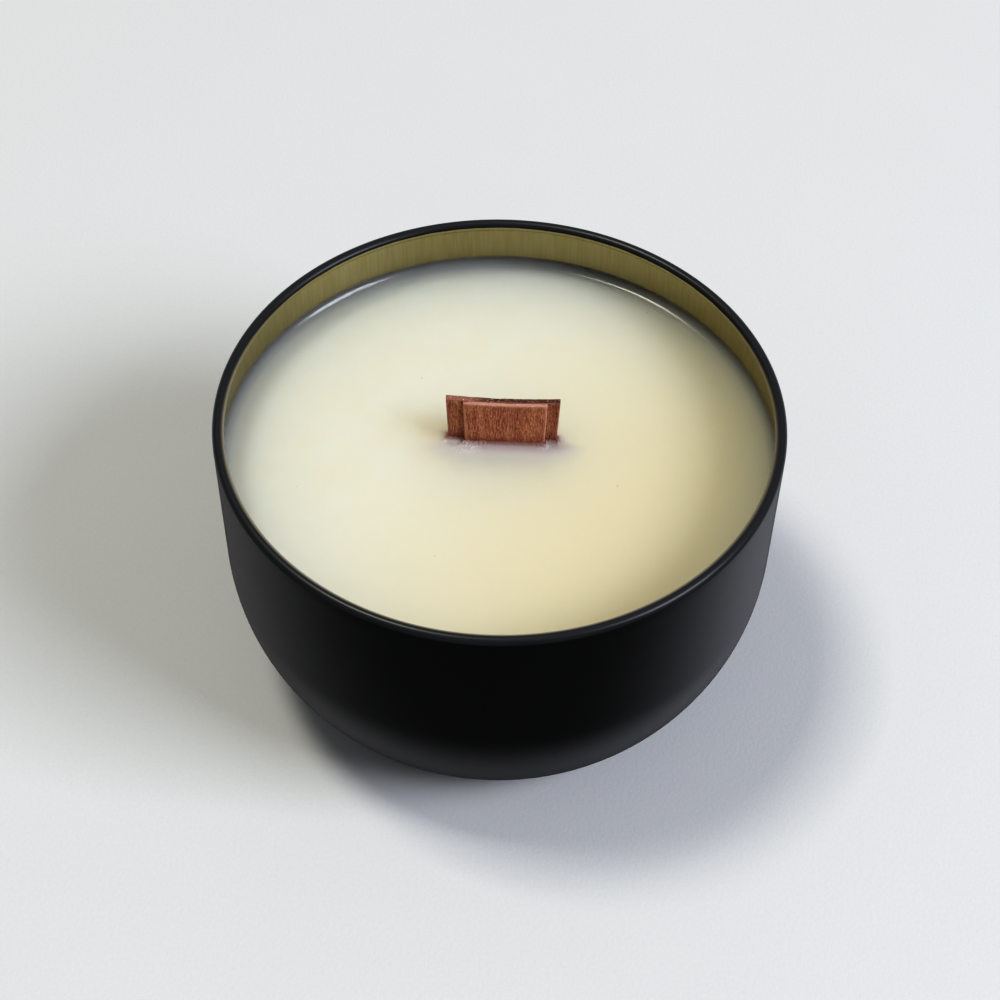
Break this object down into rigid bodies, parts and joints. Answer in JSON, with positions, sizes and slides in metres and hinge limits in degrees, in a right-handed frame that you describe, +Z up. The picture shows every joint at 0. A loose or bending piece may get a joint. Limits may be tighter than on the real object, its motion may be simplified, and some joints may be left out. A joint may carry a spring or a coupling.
{
  "type": "candle tin",
  "caption": "Round bowl-shaped candle tin with a straight upper wall and an inward curled rim, filled with wax around a layered wooden wick.",
  "frame": {"origin": "centre of the foot ring's underside, on the tin's axis", "axes": "+Z up along the tin's axis, towards its mouth; +X to the right along the wick's width; -Y towards the side that the wick's booster strip faces"},
  "size_m": [0.096, 0.096, 0.057],
  "materials": {
    "black_coat": "matte black coat outside and over the rim, satin gold lacquer inside",
    "wax": "smooth satin cream wax, slightly translucent",
    "wick_wood": "bare reddish-brown wood, upright grain",
    "booster_wood": "bare reddish-brown wood, upright grain, worn paler edges",
    "clip_steel": "bright tinplate",
    "sticker": "matte white adhesive disc"
  },
  "bodies": {
    "root": {"tin_shell": "black_coat", "wax_fill": "wax", "wick_strip": "wick_wood", "wick_booster": "booster_wood", "wick_clip": "clip_steel", "clip_sticker": "sticker"}
  },
  "joints": []
}
